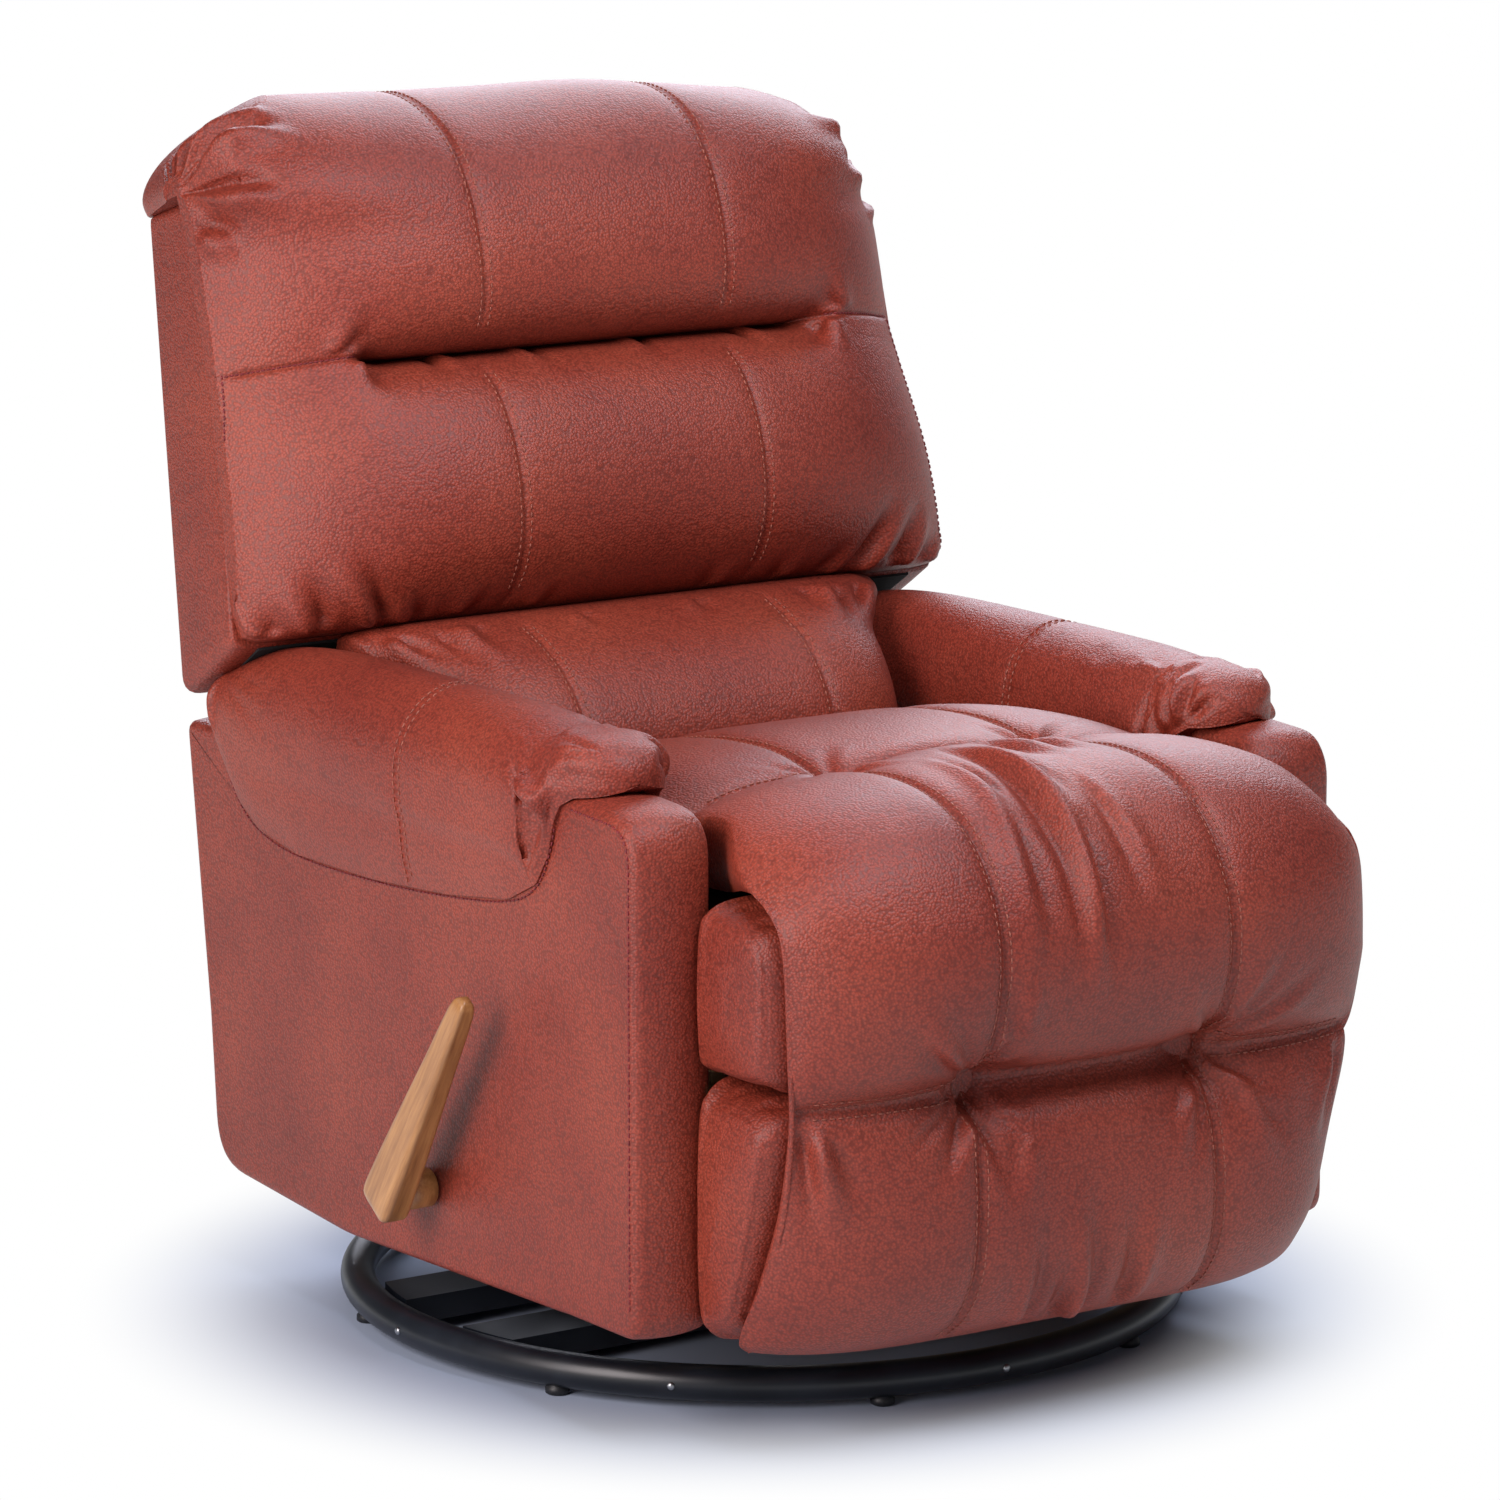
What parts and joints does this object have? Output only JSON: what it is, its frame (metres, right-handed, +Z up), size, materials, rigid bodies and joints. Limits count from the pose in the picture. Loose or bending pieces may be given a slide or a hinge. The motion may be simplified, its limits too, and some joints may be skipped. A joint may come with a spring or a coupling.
{
  "type": "swivel glider recliner",
  "caption": "Upholstered leather recliner with a rolled back, padded arms, a chaise footrest worked by a wooden side lever, and a glider on a round swivel tube base.",
  "frame": {"origin": "floor level under the centre of the outer box", "axes": "+Z up, the chair faces -Y, the sitter's right (lever side) is -X"},
  "size_m": [0.77, 1.0183, 0.9981],
  "materials": {
    "leather": "pebbled, semi-matt, stitched",
    "frame_wood": "sawn softwood and plywood",
    "oak": "clear lacquer",
    "black_steel": "black powder coat",
    "zinc_steel": "zinc plated stampings",
    "nylon": "moulded"
  },
  "bodies": {
    "base": {"base_ring": "black_steel", "crossbar_front": "black_steel", "crossbar_rear": "black_steel", "swivel_lower_plate": "black_steel", "swivel_race": "zinc_steel", "king_bolt": "zinc_steel"},
    "swivel": {"swivel_upper_plate": "black_steel", "glider_bracket_left": "black_steel", "glider_bracket_right": "black_steel"},
    "front_links": {"glide_link_front_left": "zinc_steel", "glide_link_front_right": "zinc_steel"},
    "rear_links": {"glide_link_rear_left": "zinc_steel", "glide_link_rear_right": "zinc_steel"},
    "chassis": {"glide_rail_left": "black_steel", "glide_rail_right": "black_steel", "arm_cover_left": "leather", "arm_cover_right": "leather", "arm_frame_left": "frame_wood", "arm_frame_right": "frame_wood", "arm_pad_left": "leather", "arm_pad_right": "leather", "seat_track_left": "zinc_steel", "seat_track_right": "zinc_steel", "stretcher_front": "frame_wood", "stretcher_rear": "frame_wood", "rear_cover": "leather", "lever_bush": "nylon"},
    "lever": {"lever_shaft": "zinc_steel", "lever_handle": "oak"},
    "seat": {"seat_rail_left": "frame_wood", "seat_rail_right": "frame_wood", "mechanism_plate_left": "zinc_steel", "mechanism_plate_right": "zinc_steel", "seat_rail_front": "frame_wood", "seat_rail_rear": "frame_wood", "seat_spring_left": "zinc_steel", "seat_spring_middle": "zinc_steel", "seat_spring_right": "zinc_steel", "seat_cushion": "leather"},
    "back": {"back_upright_left": "frame_wood", "back_upright_right": "frame_wood", "back_bracket_left": "zinc_steel", "back_bracket_right": "zinc_steel", "back_cover": "leather", "back_top_rail": "frame_wood", "back_low_rail": "frame_wood", "head_roll": "leather", "mid_roll": "leather", "lumbar_roll": "leather"},
    "footrest": {"footrest_bracket_left": "zinc_steel", "footrest_bracket_right": "zinc_steel", "footrest_board_lower": "frame_wood", "footrest_board_upper": "frame_wood", "ear_pad_upper": "leather", "ear_pad_lower": "leather", "chaise_pad": "leather"},
    "footrest_links": {"footrest_link_left": "zinc_steel", "footrest_link_right": "zinc_steel"},
    "footrest_ties": {"footrest_tie_left": "zinc_steel", "footrest_tie_right": "zinc_steel"}
  },
  "joints": [
    {"name": "swivel_turn", "type": "hinge", "parent": "base", "child": "swivel", "pos_m": [0.019, 0.0104, 0.05], "axis": [0, 0, 1], "continuous": true},
    {"name": "glide_swing", "type": "hinge", "parent": "swivel", "child": "front_links", "pos_m": [0.019, -0.1546, 0.187], "axis": [1, 0, 0], "range_deg": [-16, 16]},
    {"name": "chassis_level", "type": "hinge", "parent": "front_links", "child": "chassis", "pos_m": [0.019, -0.1546, 0.077], "axis": [1, 0, 0], "range_deg": [-16, 16]},
    {"name": "rear_link_swing", "type": "hinge", "parent": "swivel", "child": "rear_links", "pos_m": [0.019, 0.1754, 0.187], "axis": [1, 0, 0], "range_deg": [-16, 16]},
    {"name": "lever_pull", "type": "hinge", "parent": "chassis", "child": "lever", "pos_m": [0.019, -0.0196, 0.152], "axis": [-1, 0, 0], "range_deg": [0, 60]},
    {"name": "seat_slide", "type": "slide", "parent": "chassis", "child": "seat", "axis": [0, -1, 0], "range_m": [0, 0.04]},
    {"name": "back_recline", "type": "hinge", "parent": "seat", "child": "back", "pos_m": [0.019, 0.2724, 0.29], "axis": [-1, 0, 0], "range_deg": [0, 40]},
    {"name": "footrest_lift", "type": "hinge", "parent": "seat", "child": "footrest", "pos_m": [0.019, -0.4646, 0.495], "axis": [-1, 0, 0], "range_deg": [0, 80]},
    {"name": "footrest_link_swing", "type": "hinge", "parent": "seat", "child": "footrest_links", "pos_m": [0.019, -0.2046, 0.415], "axis": [-1, 0, 0], "range_deg": [0, 80]},
    {"name": "footrest_tie_swing", "type": "hinge", "parent": "footrest", "child": "footrest_ties", "pos_m": [0.019, -0.2946, 0.31], "axis": [-1, 0, 0], "range_deg": [-80, 0]}
  ],
  "couplings": [
    {"joint": "chassis_level", "follows": "glide_swing", "ratio": -1},
    {"joint": "rear_link_swing", "follows": "glide_swing", "ratio": 1},
    {"joint": "seat_slide", "follows": "back_recline", "m_per_rad": 0.0572},
    {"joint": "footrest_link_swing", "follows": "footrest_lift", "ratio": 1},
    {"joint": "footrest_tie_swing", "follows": "footrest_lift", "ratio": -1},
    {"joint": "lever_pull", "follows": "footrest_lift", "ratio": 0.75}
  ]
}
